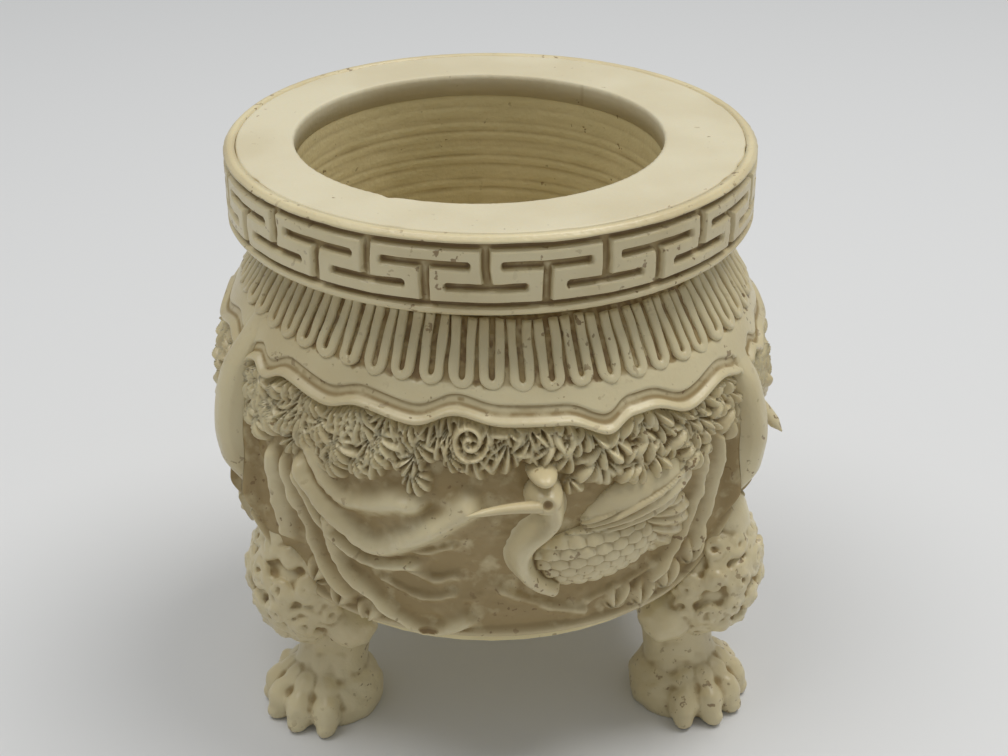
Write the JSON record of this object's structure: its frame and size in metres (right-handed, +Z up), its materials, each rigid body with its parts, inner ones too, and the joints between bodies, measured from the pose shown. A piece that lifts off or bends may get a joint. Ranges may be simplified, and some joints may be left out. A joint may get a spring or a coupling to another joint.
{
  "type": "tripod vessel",
  "caption": "Small three-footed censer in carved imitation ivory, with a key-fret collar, fluted shoulder, crane scenes and lion-paw legs.",
  "frame": {"origin": "on the vessel's axis, at the height of the flat soles it stands on", "axes": "+Z up along the axis, -Y towards the front scene, +X to the right as seen from the front"},
  "size_m": [0.0831, 0.0837, 0.0826],
  "materials": {
    "sanded_ivory": "matte, faintly stained",
    "carved_ivory": "soft gloss with an ochre wash in the carving",
    "turned_ivory": "turned, matte"
  },
  "bodies": {
    "root": {"bowl": "turned_ivory", "rim_plate": "sanded_ivory", "fret_collar": "carved_ivory", "neck_ring": "turned_ivory", "shoulder_mantle": "carved_ivory", "scene_panel_front": "carved_ivory", "scene_panel_right": "carved_ivory", "scene_panel_left": "carved_ivory", "crane_front": "carved_ivory", "crane_right": "carved_ivory", "crane_left": "carved_ivory", "base_disc": "turned_ivory", "leg_left": "carved_ivory", "leg_right": "carved_ivory", "leg_rear": "carved_ivory", "leg_peg_left": "turned_ivory", "leg_peg_right": "turned_ivory", "leg_peg_rear": "turned_ivory"}
  },
  "joints": []
}
